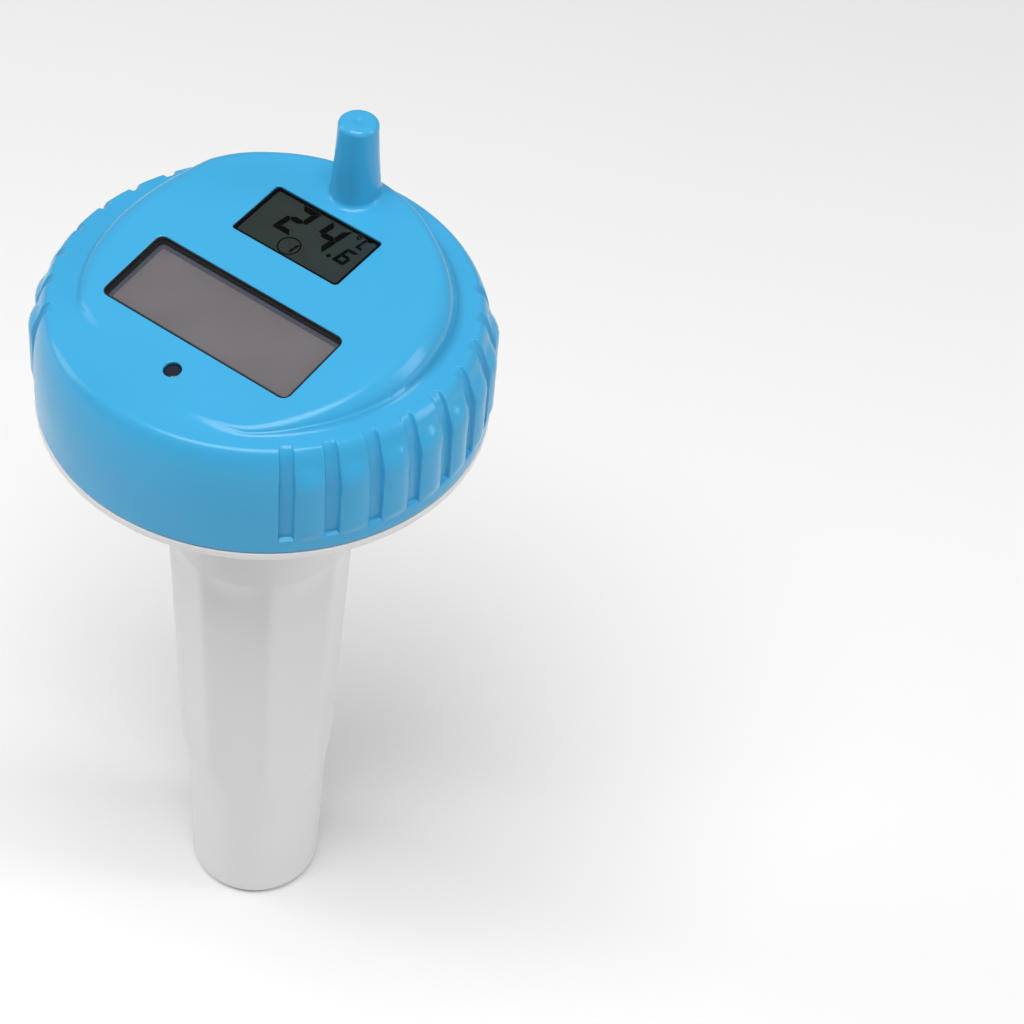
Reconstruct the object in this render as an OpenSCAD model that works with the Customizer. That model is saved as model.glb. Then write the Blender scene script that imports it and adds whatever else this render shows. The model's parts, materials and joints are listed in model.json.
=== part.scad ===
// Floating pool thermometer: a white float with a long tube, closed by a blue screw cap that carries
// a solar cell, a temperature display and an aerial. Millimetres, +Z up, the tube stands on z = 0.

/* [Float tube] */
// Height of the seam between the white float and the blue cap
seam_z = 176; // [172:1:180]
// Radius of the tube at its flat foot
foot_r = 17.1; // [16.5:0.1:17.5]
// Radius of the fillet around the foot
foot_fillet = 3; // [2:0.5:4]
// Draft angle of the round lower tube
foot_draft = 1.5; // [1.2:0.1:1.6]
// Corner radius of the eight-sided tube, measured at octagon_z
octagon_r = 22.7; // [22.5:0.1:23]
// Draft angle of the eight-sided tube
octagon_draft = 2.2; // [2:0.1:2.3]
// Thickness of the float's wall
hull_wall = 2; // [1.8:0.1:2.2]

/* [Float dish] */
// Radius of the flange under the cap
flange_r = 53.2; // [52.8:0.1:53.6]
// Height of the flange's straight edge
flange_t = 2; // [1.5:0.1:2.5]
// Radius of the threaded neck
neck_r = 48.6; // [48.4:0.1:48.7]
// Height of the neck above the seam
neck_h = 12; // [11:0.5:12]

/* [Cap] */
// Radius of the cap's skirt
skirt_r = 53.2; // [53:0.1:53.4]
// Radius of the flat ring around the face, where the rounded shoulder starts
ring_edge_r = 48.5; // [48:0.1:49]
// Height of the rounded shoulder
shoulder_h = 18.6; // [18:0.1:19]
// Height of the cap's flat ring above the seam
ring_h = 28.6; // [28:0.1:29]
// Thickness of the cap's skin
cap_wall = 2.4; // [2.2:0.1:2.5]
// Radius of the round raised face
face_r = 43.6; // [43:0.1:44]
// Height above the seam of the crease that divides the face into two slopes
crease_h = 37.3; // [37:0.1:37.5]
// Distance of the crease behind the cap's axis
crease_y = 4.5; // [4:0.1:4.5]
// Slope of the front half of the face, which holds the solar window
front_tilt = 10; // [9.5:0.1:10]
// Slope of the back half of the face, which holds the display
back_tilt = 5.7; // [5.5:0.1:6]
// Radius of the face's rounded edge
face_edge = 5; // [4:0.5:6]

/* [Grip] */
// Grooves in each of the two grip groups
groove_count = 9; // [7:2:9]
// Angle from one groove to the next
groove_step = 11.25; // [11:0.25:11.5]
// Width of a groove
groove_w = 3.6; // [3:0.2:4]
// Radius to the bottom of a groove
groove_r = 51.9; // [51.8:0.1:52.2]
// Radius over the ribs
rib_r = 54; // [53.8:0.1:54.2]
// Height of the ribs' rounded tops
rib_top_h = 9.4; // [9:0.1:10]

/* [Windows] */
// Solar window, across and along the slope
solar_size = [54, 21];
// Centre of the solar window, in front of the cap's axis
solar_y = -15.5; // [-15.6:0.1:-15]
// Display window, across and along the slope
lcd_size = [30.8, 17];
// Centre of the display window, behind the cap's axis
lcd_y = 14.2; // [14:0.1:14.5]
// Radius of the indicator's hole
led_hole_r = 2.25; // [2:0.05:2.5]
// Centre of the indicator, in front of the cap's axis
led_y = -33.4; // [-33.6:0.1:-33]

/* [Aerial post] */
// Distance of the post from the cap's axis
post_y = 31.8; // [31.5:0.1:32.2]
// Radius of the post where it meets the face
post_base_r = 6; // [5.8:0.1:6.2]
// Radius of the post just under its rounded top
post_top_r = 4.8; // [4.6:0.1:5]
// Height of the post above the face
post_h = 20.7; // [19:0.1:21]

/* [Thread] */
// Starts on the neck and on the cap
thread_starts = 4; // [3:1:4]
// Rise of the cap in one full turn
thread_lead = 12; // [11:0.5:12]
// Angle that one ridge spans
ridge_span = 50; // [40:5:50]
// Height of a ridge at its root
ridge_h = 1.2; // [1:0.1:1.2]
// Play between the ridges and the wall facing them
thread_play = 0.2; // [0.15:0.05:0.25]

/* [Hidden] */
$fn = 96;
slack = 0.05;
overlap = 1;
arc_steps = 8;

// Tube: the stretches between its round foot, its eight-sided middle and its round top
octagon_z = 116;
octagon_from = 40;
corner_cut_z = [42, 58];
corner_cut_r = foot_r + corner_cut_z[0] * tan(foot_draft);
octagon_top_z = 133;
collar_chamfer = 6;
collar_r = 23.5;
flat_ratio = cos(22.5);

// Dish: a fillet off the tube, then a shallow bowl up to the flange
dish_fillet = 8;
bowl_r = 41;
bowl_slope = [12, 48];
flange_top = seam_z - 0.2;
flange_low = flange_top - flange_t;
bowl_centre = [flange_r - 1 - bowl_r * sin(bowl_slope[1]), flange_low - 0.3 + bowl_r * cos(bowl_slope[1])];
fillet_x = collar_r + dish_fillet;
fillet_z = bowl_centre[1] - bowl_r * cos(bowl_slope[0]) - dish_fillet * cos(bowl_slope[0]);
neck_top = seam_z + neck_h;
neck_bore_r = neck_r - 2.2;
floor_t = 2.4;

// Thread
lead_angle = atan(thread_lead / (2 * PI * neck_r));
ridge_pitch = thread_lead / thread_starts;
neck_ridge_z = seam_z + 7;
cap_ridge_z = neck_ridge_z - ridge_pitch / 2;
skirt_bore_r = neck_r + 1.6;
ridge_depth = skirt_bore_r - neck_r - thread_play;

// Cap levels
ring_z = seam_z + ring_h;
crease_z = seam_z + crease_h;
ring_under = ring_z - 2.2;
face_bore_r = face_r - 3;
gasket_t = 2;
gasket_r = [neck_bore_r - 0.2, neck_r + 0.4];
seat_z = neck_top + slack + gasket_t + slack;
seat_r = [46.4, 48.2];
tray_z = seam_z + 14;
tray_t = 2;
tray_r = 45.4;
groove_z = seam_z + 4;
rib_foot_h = 1.5;
corner_r = 2;

// Depths under a slope, measured along its normal. The display's panel stays behind the crease.
pane_top = -0.35;
pane_t = 1;
panel_t = 1.6;
lcd_t = 1.8;
lcd_panel_size = lcd_size + [3.4, 1.6];
board_top = -8;
board_t = 1.2;
board_under = board_top - board_t;
board_r = 39;
board_w = 50;
board_screw_at = [[21, 28], [-21, 28], [17, -32], [-17, -32]];
pillar_h = 3.1;
pilot_depth = 2.4;
boss_r = 2.6;
pilot_r = 0.85;

// Keys behind the cap
key_y = 27;
key_x = 14;
key_face_z = crease_z + (key_y - crease_y) * tan(back_tilt);
key_plate = (tray_z + tray_t - key_face_z) / cos(back_tilt);
key_collar = [key_plate + 0.9, key_plate + 2.1];
key_end = key_plate - tray_t - 0.8;
switch_low = board_under - 3.4;
slider_travel = 4;
slider_rest_x = -slider_travel / 2;

// Cells: AAA, 10.5 across and 44.5 long
cell_r = 5.25;
cell_l = 44.5;
cell_can_l = 43.3;
cell_z = seam_z + 8;
cell_y = [-10, -23];
bay_x = 25.5;
bay_half_w = 5.6;
bay_wall = 1.5;
contact_t = 0.5;
tab_top = tray_z + tray_t + 1.2;

// Screws that hold the tray
tray_screw_r = 42.8;
tray_boss_r = 2.8;

// Probe
stem_r = 3.2;
stem_bore_r = 2;
spigot_r = 2.6;
probe_z = 6;
spigot_z = [26, 32];
stem_top = tray_z + tray_t + 1.2;
wire_r = 0.5;
board_under_z = crease_z - crease_y * tan(back_tilt) + board_under / cos(back_tilt);
post_face_z = crease_z + (post_y - crease_y) * tan(back_tilt);

// ---------------------------------------------------------------- helpers

// Points along an arc about centre, from one angle to another
function arc_points(centre, r, from, to, steps = arc_steps) =
    [for (i = [0:steps]) let (a = from + (to - from) * i / steps) centre + r * [cos(a), sin(a)]];

// Radius of the round lower tube at height z
function cone_r(z) = foot_r + z * tan(foot_draft);

// Corner radius of the eight-sided tube at height z
function corner_at(z) = octagon_r + (z - octagon_z) * tan(octagon_draft);

// Points along a coil about +Z that starts at [r, 0, z]
function coil_points(r_from, r_to, z_from, z_to, turns, steps) =
    [for (i = [0:turns * steps])
        let (t = i / (turns * steps), r = r_from + (r_to - r_from) * t, a = 360 * turns * t)
        [r * cos(a), r * sin(a), z_from + (z_to - z_from) * t]];

// Direction of a path at its point i
function path_direction(path, i) =
    let (step = path[min(i + 1, len(path) - 1)] - path[max(i - 1, 0)]) step / norm(step);

// Ring of points around a path's point i, square to the path
function path_ring(path, i, r, sides, side_on) =
    let (
        along = path_direction(path, i),
        across = cross(along, side_on) / norm(cross(along, side_on)),
        up = cross(along, across)
    )
    [for (k = [0:sides - 1]) path[i] + r * (cos(360 * k / sides) * across + sin(360 * k / sides) * up)];

// A round wire along a path; side_on is any direction the path never follows
module wire(path, r, side_on = [0, 0, 1], sides = 6) {
    rings = len(path);
    polyhedron(
        points = [for (i = [0:rings - 1]) each path_ring(path, i, r, sides, side_on)],
        faces = concat(
            [[for (k = [0:sides - 1]) k]],
            [[for (k = [sides - 1:-1:0]) (rings - 1) * sides + k]],
            [for (i = [0:rings - 2], k = [0:sides - 1])
                let (a = i * sides + k, b = i * sides + (k + 1) % sides)
                each [[a, a + sides, b + sides], [a, b + sides, b]]]
        )
    );
}

// A block with round upright corners, standing on z = 0
module rounded_block(size, r, h) {
    translate([0, 0, h / 2]) {
        cube([size[0] - 2 * r, size[1], h], center = true);
        cube([size[0], size[1] - 2 * r, h], center = true);
    }
    for (x = [-1, 1], y = [-1, 1])
        translate([x * (size[0] / 2 - r), y * (size[1] / 2 - r), 0]) cylinder(r = r, h = h);
}

// Places its children on a slope that passes through the crease: z = 0 is its surface and y is
// the distance from the cap's axis, seen from above
module on_slope(tilt, x, y, z) {
    translate([0, crease_y, crease_z]) rotate([tilt, 0, 0])
        translate([x, (y - crease_y) / cos(tilt), z]) children();
}

module on_front(x = 0, y = 0, z = 0) { on_slope(front_tilt, x, y, z) children(); }

module on_back(x = 0, y = 0, z = 0) { on_slope(back_tilt, x, y, z) children(); }

// One thread ridge, centred on +X and leaning along the helix
module ridge(root_r, tip_r, z) {
    translate([0, 0, z]) rotate([lead_angle, 0, 0]) rotate([0, 0, -ridge_span / 2])
        rotate_extrude(angle = ridge_span)
            polygon([
                [root_r, -ridge_h / 2], [tip_r, -ridge_h / 4],
                [tip_r, ridge_h / 4], [root_r, ridge_h / 2]
            ]);
}

// Every start of a thread
module thread(root_r, tip_r, z) {
    for (i = [0:thread_starts - 1]) rotate([0, 0, i * 360 / thread_starts]) ridge(root_r, tip_r, z);
}

// ---------------------------------------------------------------- white float

module lower_tube() {
    rotate_extrude() polygon(concat(
        [[0, 0]],
        arc_points([foot_r - foot_fillet, foot_fillet], foot_fillet, -90, 0),
        [[cone_r(octagon_from), octagon_from], [0, octagon_from]]
    ));
}

module eight_sided_tube() {
    intersection() {
        translate([0, 0, octagon_from]) cylinder(
            r1 = corner_at(octagon_from), r2 = corner_at(octagon_top_z),
            h = octagon_top_z - octagon_from, $fn = 8);
        rotate_extrude() polygon([
            [0, octagon_from], [cone_r(octagon_from), octagon_from],
            [corner_cut_r, corner_cut_z[0]],
            [corner_at(corner_cut_z[1]) + 0.1, corner_cut_z[1]],
            [collar_r + 2, octagon_top_z], [0, octagon_top_z]
        ]);
    }
}

module dish_outside() {
    rotate_extrude() polygon(concat(
        [[0, octagon_top_z - collar_chamfer], [collar_r - 2.2, octagon_top_z - collar_chamfer]],
        [[collar_r - 0.2, octagon_top_z]],
        arc_points([fillet_x, fillet_z], dish_fillet, 180, 90 + bowl_slope[0]),
        arc_points(bowl_centre, bowl_r, bowl_slope[0] - 90, bowl_slope[1] - 90),
        [[flange_r, flange_low], [flange_r, flange_top - 0.3], [flange_r - 0.3, flange_top]],
        [[neck_r, flange_top], [neck_r, neck_top - 0.4], [neck_r - 0.4, neck_top], [0, neck_top]]
    ));
}

module hull_inside() {
    bowl_in_r = bowl_r - hull_wall;
    neck_slope = asin((neck_bore_r - bowl_centre[0]) / bowl_in_r);
    inner_foot = foot_r - hull_wall;
    rotate_extrude() polygon(concat(
        [[0, floor_t]],
        arc_points([inner_foot - 2, floor_t + 2], 2, -90, 0, 4),
        [[corner_cut_r - hull_wall, corner_cut_z[0]]],
        [[corner_at(corner_cut_z[1]) * flat_ratio - hull_wall, corner_cut_z[1]]],
        [[corner_at(octagon_top_z) * flat_ratio - hull_wall, octagon_top_z]],
        arc_points([fillet_x, fillet_z], dish_fillet + hull_wall, 180, 90 + bowl_slope[0]),
        arc_points(bowl_centre, bowl_in_r, bowl_slope[0] - 90, neck_slope - 90),
        [[neck_bore_r, neck_top + overlap], [0, neck_top + overlap]]
    ));
}

module hull() {
    color("whitesmoke") {
        difference() {
            union() {
                lower_tube();
                eight_sided_tube();
                dish_outside();
            }
            hull_inside();
        }
        thread(neck_r - 0.4, neck_r + ridge_depth, neck_ridge_z);
    }
}

module ballast() {
    ballast_r = [foot_r - hull_wall - 2.2, foot_r - hull_wall - 0.2];
    hole_r = stem_r + 1;
    top = 22;
    color("dimgray") rotate_extrude() polygon([
        [hole_r, floor_t], [ballast_r[0], floor_t], [ballast_r[1], floor_t + 2.4],
        [ballast_r[1], top], [hole_r, top]
    ]);
}

module lid_gasket() {
    color("darkgray") translate([0, 0, neck_top + slack]) rotate_extrude()
        translate([gasket_r[0], 0]) square([gasket_r[1] - gasket_r[0], gasket_t]);
}

// ---------------------------------------------------------------- blue cap

// Quarter of an ellipse that turns from an upright side into a level top
function shoulder_points(side_r, h, top_z, steps = 12) =
    [for (i = [0:steps]) let (a = 90 * i / steps)
        [ring_edge_r + (side_r - ring_edge_r) * cos(a), top_z - h + h * sin(a)]];

module skirt_outside() {
    chamfer = 0.6;
    rotate_extrude() polygon(concat(
        [[0, seam_z], [skirt_r - chamfer, seam_z], [skirt_r, seam_z + chamfer]],
        shoulder_points(skirt_r, shoulder_h, ring_z),
        [[0, ring_z]]
    ));
}

// Disc in a slope's own frame, with a rounded upper rim, that reaches far below its surface
module slope_disc(tilt, r, depth, edge) {
    on_slope(tilt, 0, 0, -depth) rotate_extrude() polygon(concat(
        [[0, -30], [r, -30]],
        arc_points([r - edge, -edge], edge, 0, 90),
        [[0, 0]]
    ));
}

// Round block whose top is the two slopes, lowered by depth, with its rim rounded to radius edge
module folded_block(r, low, depth, edge) {
    intersection() {
        translate([0, 0, low]) cylinder(r = r, h = crease_z + 10 - low);
        slope_disc(front_tilt, r + 0.2, depth, edge);
        slope_disc(back_tilt, r + 0.2, depth, edge);
    }
}

module post() {
    top_z = post_face_z + post_h;
    root_z = ring_z + 2;
    edge = 1.3;
    translate([0, post_y, 0]) difference() {
        rotate_extrude() polygon(concat(
            [[0, root_z], [post_base_r + 0.4, root_z]],
            arc_points([post_top_r - edge, top_z - edge], edge, 0, 90),
            [[0, top_z]]
        ));
        translate([0, 0, top_z + 0.5]) sphere(r = 1);
    }
}

// The raised band of each grip group, which the grooves divide into ribs
module grip_bands() {
    band_angle = (groove_count - 1) * groove_step;
    root_r = groove_r - 1;
    root_z = ring_z - 3;
    for (side = [0, 180]) rotate([0, 0, side - band_angle / 2])
        rotate_extrude(angle = band_angle) polygon(concat(
            [[root_r, groove_z - rib_foot_h], [skirt_r - 0.1, groove_z - rib_foot_h], [rib_r, groove_z]],
            shoulder_points(rib_r, rib_top_h, ring_z - 0.2),
            [[ring_edge_r, root_z], [root_r, root_z]]
        ));
}

module grip_grooves() {
    for (side = [0, 180], i = [0:groove_count - 1])
        rotate([0, 0, side + (i - (groove_count - 1) / 2) * groove_step])
            translate([groove_r, -groove_w / 2, groove_z]) cube([5, groove_w, ring_h]);
}

module cap_cavity() {
    rotate_extrude() polygon([
        [0, seam_z - overlap], [skirt_bore_r, seam_z - overlap], [skirt_bore_r, seat_z],
        [neck_r, ring_under], [0, ring_under]
    ]);
    folded_block(face_bore_r, ring_under - overlap, cap_wall, 1);
    translate([0, post_y, ring_z])
        cylinder(r1 = post_base_r - 2, r2 = post_top_r - 1.8, h = post_face_z + post_h - 2.4 - ring_z);
}

module face_openings() {
    on_front(0, solar_y, -4) rounded_block(solar_size, corner_r, 4 + overlap);
    on_back(0, lcd_y, -4) rounded_block(lcd_size, 1, 4 + overlap);
    on_front(0, led_y, -4) cylinder(r = led_hole_r, h = 4 + overlap);
}

// Pillar under the face that takes a board screw from below
module board_pillar(h) {
    difference() {
        translate([0, 0, board_top]) cylinder(r = boss_r, h = h);
        translate([0, 0, board_top - overlap]) cylinder(r = pilot_r, h = pilot_depth + overlap);
    }
}

// Pillar under the ring that takes a tray screw from below
module tray_pillar() {
    low = tray_z + tray_t;
    difference() {
        translate([tray_screw_r, 0, low]) cylinder(r = tray_boss_r, h = ring_under - low + 0.4);
        translate([tray_screw_r, 0, low - overlap]) cylinder(r = pilot_r, h = 7 + overlap);
    }
}

module top_cap() {
    color("deepskyblue") {
        difference() {
            union() {
                skirt_outside();
                folded_block(face_r, ring_z - 2, 0, face_edge);
                post();
                grip_bands();
            }
            grip_grooves();
            cap_cavity();
            face_openings();
        }
        translate([0, 0, seat_z]) rotate_extrude()
            translate([seat_r[0], 0]) square([seat_r[1] - seat_r[0], ring_under - seat_z + 0.4]);
        thread(skirt_bore_r + 0.4, skirt_bore_r - ridge_depth, cap_ridge_z);
        for (at = board_screw_at) on_back(at[0], at[1])
            board_pillar(at[1] > crease_y ? -board_top - cap_wall + 0.2 : pillar_h);
        for (a = [0:90:270]) rotate([0, 0, a]) tray_pillar();
    }
}

// ---------------------------------------------------------------- windows and display

module pane(size, r) {
    translate([0, 0, pane_top - pane_t]) rounded_block([size[0] - 0.3, size[1] - 0.3], r, pane_t);
}

// Black frame that lines an opening between its pane and the panel below
module window_frame(size, r) {
    outer = [size[0] - 0.3, size[1] - 0.3];
    h = pane_top - pane_t + cap_wall;
    translate([0, 0, -cap_wall]) difference() {
        rounded_block(outer, r, h);
        translate([0, 0, -overlap]) rounded_block([outer[0] - 1, outer[1] - 1], r - 0.4, h + 2 * overlap);
    }
}

module solar_window() { color("lightcyan", 0.4) on_front(0, solar_y) pane(solar_size, corner_r - 0.1); }

module solar_gasket() { color("black") on_front(0, solar_y) window_frame(solar_size, corner_r - 0.1); }

module solar_cell() {
    color("dimgray") on_front(0, solar_y, -cap_wall - panel_t)
        rounded_block([solar_size[0] + 3.2, solar_size[1] + 3.2], 1, panel_t);
}

module solar_leads() {
    lead_y = solar_y + 6;
    top = crease_z + (lead_y - crease_y) * tan(front_tilt) - (cap_wall + panel_t) / cos(front_tilt) - 0.05;
    low = crease_z + (lead_y - crease_y) * tan(back_tilt) + board_top / cos(back_tilt) + 0.1;
    bend = 0.4;
    color("firebrick") for (x = [20, 22.5]) translate([x, lead_y, 0])
        wire([[0, 0, top], [0, 0.1, top - 0.6], [0, bend, (top + low) / 2], [0, 0.1, low + 0.6], [0, 0, low]],
            wire_r, [1, 0, 0]);
}

module lcd_window() { color("lightcyan", 0.4) on_back(0, lcd_y) pane(lcd_size, 0.9); }

module lcd_gasket() { color("black") on_back(0, lcd_y) window_frame(lcd_size, 0.9); }

module lcd_panel() {
    color("darkslategray") on_back(0, lcd_y, -cap_wall - lcd_t)
        rounded_block(lcd_panel_size, 0.4, lcd_t);
}

// Open frame that stands on the board and holds the display up to its window
module lcd_frame() {
    inner = lcd_panel_size + [0.2, 0.2];
    h = -cap_wall - lcd_t + 0.8 - board_top;
    color("gainsboro") on_back(0, lcd_y, board_top) difference() {
        rounded_block(inner + [2.4, 2.4], 1.2, h);
        translate([0, 0, -overlap]) rounded_block(inner, 0.4, h + 2 * overlap);
    }
}

// Conductive rubber strips that carry the display's signals to the board
module zebra_strips() {
    strip_w = 2;
    color("slategray") for (side = [-1, 1]) on_back(0, lcd_y, board_top)
        translate([-lcd_size[0] / 2, side * (lcd_size[1] - 1) / 2 - strip_w / 2, 0])
            cube([lcd_size[0], strip_w, -cap_wall - lcd_t - board_top]);
}

module led_lens() {
    color("darkslategray") on_front(0, led_y, -cap_wall) cylinder(r = led_hole_r - slack, h = cap_wall - 0.4);
}

module status_led() {
    case_size = 3;
    case_h = 0.8;
    led_r = 1.1;
    color("mistyrose") on_back(0, led_y, board_top) {
        translate([-case_size / 2, -case_size / 2, 0]) cube([case_size, case_size, case_h]);
        rotate_extrude() polygon(concat([[0, 0], [led_r, 0]], arc_points([0, case_h], led_r, 0, 90)));
    }
}

// ---------------------------------------------------------------- circuit board

module main_board() {
    color("darkgreen") on_back(0, 0, board_under) difference() {
        intersection() {
            cylinder(r = board_r, h = board_t);
            translate([-board_w / 2, -board_r, 0]) cube([board_w, 2 * board_r, board_t]);
        }
        for (at = board_screw_at) translate([at[0], at[1], -overlap])
            cylinder(r = pilot_r + 0.25, h = board_t + 2 * overlap);
    }
}

module control_chip() {
    size = 10;
    pin_count = 8;
    pin_step = 1;
    color("black") on_back(-10, 6, board_under) {
        translate([-size / 2, -size / 2, -1.6]) cube([size, size, 1.4]);
        for (turn = [0:90:270], i = [0:pin_count - 1]) rotate([0, 0, turn])
            translate([size / 2 - 0.2, (i - (pin_count - 1) / 2) * pin_step - 0.2, -0.4])
                cube([1.2, 0.4, 0.4]);
    }
}

module rf_module() {
    color("silver") on_back(10, 8, board_under) {
        translate([-7, -6, -0.8]) cube([14, 12, 0.8]);
        translate([-5.5, -4.5, -2.8]) cube([11, 9, 2.1]);
    }
}

module antenna() {
    coil_r = 2.2;
    antenna_wire_r = 0.45;
    foot_z = post_face_z + board_top / cos(back_tilt) + 2 * antenna_wire_r;
    color("peru") translate([0, post_y, 0])
        wire(coil_points(coil_r, coil_r, foot_z, foot_z + 21, 7, 10), antenna_wire_r);
}

module tact_switches() {
    size = 6;
    color("dimgray") for (side = [-1, 1]) on_back(side * key_x, key_y) difference() {
        translate([-size / 2, -size / 2, switch_low]) cube([size, size, board_under - switch_low]);
        translate([0, 0, switch_low - overlap]) cylinder(r = 1.75, h = 2.4 + overlap);
    }
}

module slide_switch() {
    size = [10, 4.4];
    slot = [slider_travel + 2.6, 1.8];
    color("silver") on_back(0, key_y, switch_low) difference() {
        translate([-size[0] / 2, -size[1] / 2, 0]) cube([size[0], size[1], board_under - switch_low]);
        translate([-slot[0] / 2, -slot[1] / 2, -overlap]) cube([slot[0], slot[1], 2.4 + overlap]);
    }
}

// A key: a thin end in the switch, a collar above the tray and a round cap that a finger presses
module key_plunger(x, cap_r) {
    thin_r = 1.6;
    thin_top = switch_low + 1.7;
    stop_r = cap_r + 1.2;
    on_back(x, key_y) rotate_extrude() polygon([
        [0, key_end], [cap_r - 0.4, key_end], [cap_r, key_end + 0.4], [cap_r, key_collar[0]],
        [stop_r, key_collar[0]], [stop_r, key_collar[1]], [cap_r, key_collar[1]],
        [cap_r, switch_low - 2], [thin_r, switch_low - 1], [thin_r, thin_top], [0, thin_top]
    ]);
}

module unit_button() { color("orange") key_plunger(-key_x, 2.4); }

module reset_button() { color("white") key_plunger(key_x, 1.9); }

module channel_slider() {
    knob = [4, 3];
    tongue = [2, 1.4];
    color("black") on_back(slider_rest_x, key_y) {
        translate([-tongue[0] / 2, -tongue[1] / 2, switch_low - 3])
            cube([tongue[0], tongue[1], 3 + 1.9]);
        translate([-knob[0] / 2, -knob[1] / 2, key_end]) cube([knob[0], knob[1], switch_low - 3 - key_end]);
    }
}

module board_screws() {
    color("silver") for (at = board_screw_at) on_back(at[0], at[1], board_under) {
        translate([0, 0, -1.4]) cylinder(r = 2, h = 1.4);
        cylinder(r = pilot_r - 0.01, h = board_t + pilot_depth - 0.1);
    }
}

// ---------------------------------------------------------------- battery tray

// Everything cut through the tray's plate
module tray_holes() {
    for (key = [[-key_x, 2.4], [key_x, 1.9]])
        on_back(key[0], key_y, key_end - 2) cylinder(r = key[1] + 0.3, h = 6);
    slot = [slider_travel + 4.8, 3.8];
    on_back(0, key_y, key_end - 2) translate([-slot[0] / 2, -slot[1] / 2, 0]) cube([slot[0], slot[1], 6]);
    for (a = [0:90:270]) rotate([0, 0, a]) translate([tray_screw_r, 0, tray_z - overlap])
        cylinder(r = 1.2, h = tray_t + 2 * overlap);
    for (y = cell_y) translate([bay_x - contact_t, y - 1.5, tray_z - overlap])
        cube([contact_t, 3, tray_t + 2 * overlap]);
}

module battery_tray() {
    bay_low = cell_z - cell_r - 0.6;
    out_x = bay_x + bay_wall;
    out_y = [cell_y[1] - bay_half_w - bay_wall, cell_y[0] + bay_half_w + bay_wall];
    color("lightgray") difference() {
        union() {
            translate([0, 0, tray_z]) cylinder(r = tray_r, h = tray_t);
            translate([-out_x, out_y[0], bay_low]) cube([2 * out_x, out_y[1] - out_y[0], tray_z - bay_low]);
            translate([0, 0, tray_z - 6]) cylinder(r = stem_r + 1.1, h = 6);
        }
        for (y = cell_y) translate([-bay_x, y - bay_half_w, bay_low - overlap])
            cube([2 * bay_x, 2 * bay_half_w, tray_z - bay_low + overlap]);
        translate([-bay_x, cell_y[1], cell_z - 1.5]) cube([contact_t, cell_y[0] - cell_y[1], 3]);
        translate([0, 0, bay_low - overlap])
            cylinder(r = stem_r, h = tray_z + tray_t - bay_low + 2 * overlap);
        tray_holes();
    }
}

// A cell lying along X, its button end towards +X
module aaa_cell() {
    nub_r = 1.9;
    edge = 0.5;
    rotate([0, 90, 0]) rotate_extrude() polygon([
        [0, 0], [cell_r - edge, 0], [cell_r, edge], [cell_r, cell_can_l - edge], [cell_r - edge, cell_can_l],
        [nub_r, cell_can_l], [nub_r, cell_l], [0, cell_l]
    ]);
}

module cell_a() {
    color("goldenrod") translate([bay_x - contact_t - cell_l, cell_y[0], cell_z]) aaa_cell();
}

module cell_b() {
    color("goldenrod") translate([contact_t + cell_l - bay_x, cell_y[1], cell_z])
        mirror([1, 0, 0]) aaa_cell();
}

// A flat contact against the bay's +X wall, with room for its tab
module contact_blade(y) {
    translate([bay_x - contact_t, y - 4, cell_z - 4.5]) cube([contact_t, 8, 9]);
}

module contact_tab(y) {
    translate([bay_x - contact_t, y - 1.5, cell_z]) cube([contact_t, 3, tab_top - cell_z]);
}

// A conical coil from the +X wall to the flat end of a cell
module contact_coil(y) {
    coil_l = 2 * bay_x - 2 * contact_t - cell_l;
    wire_at = 0.35;
    translate([bay_x - contact_t, y, cell_z]) rotate([0, -90, 0])
        wire(coil_points(3.6, 2.2, wire_at - 0.1, coil_l - wire_at - 0.1, 3, 12), wire_at);
}

module contact_plate() {
    color("silver") {
        contact_blade(cell_y[0]);
        contact_tab(cell_y[0]);
    }
}

module contact_spring() {
    color("silver") {
        contact_blade(cell_y[1]);
        contact_tab(cell_y[1]);
        contact_coil(cell_y[1]);
    }
}

// Spring and plate on one strip that joins the two cells in series
module series_contact() {
    color("silver") mirror([1, 0, 0]) {
        contact_blade(cell_y[0]);
        contact_coil(cell_y[0]);
        contact_blade(cell_y[1]);
        translate([bay_x - contact_t, cell_y[1], cell_z - 1.5]) cube([contact_t, cell_y[0] - cell_y[1], 3]);
    }
}

module battery_leads() {
    tab_x = bay_x - contact_t / 2;
    color("firebrick") for (y = cell_y) {
        top = board_under_z + y * tan(back_tilt) - 0.1;
        wire([
            [tab_x, y, tab_top], [tab_x, y, tab_top + 1], [tab_x - 1, y, tab_top + 2.4],
            [tab_x - 3, y, top - 2], [tab_x - 3.6, y, top - 1], [tab_x - 3.6, y, top]
        ], wire_r, [0, 1, 0]);
    }
}

module tray_screws() {
    color("silver") for (a = [0:90:270]) rotate([0, 0, a]) translate([tray_screw_r, 0, tray_z]) {
        translate([0, 0, -1.5]) cylinder(r = 2.2, h = 1.5);
        cylinder(r = pilot_r - 0.01, h = tray_t + 6);
    }
}

// ---------------------------------------------------------------- probe

module sensor_stem() {
    color("white") rotate_extrude() polygon([
        [1.6, spigot_z[0]], [spigot_r, spigot_z[0]], [spigot_r, spigot_z[1]], [stem_r, spigot_z[1]],
        [stem_r, tray_z + tray_t], [stem_r + 1.4, tray_z + tray_t], [stem_r + 1.4, stem_top],
        [stem_bore_r, stem_top], [stem_bore_r, spigot_z[1] + 1], [1.6, spigot_z[1]]
    ]);
}

module probe_tip() {
    color("silver") rotate_extrude() polygon(concat(
        arc_points([0, probe_z + stem_r], stem_r, -90, 0),
        [[stem_r, spigot_z[1]], [spigot_r, spigot_z[1]]],
        arc_points([0, probe_z + stem_r], spigot_r, 0, -90)
    ));
}

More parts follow.
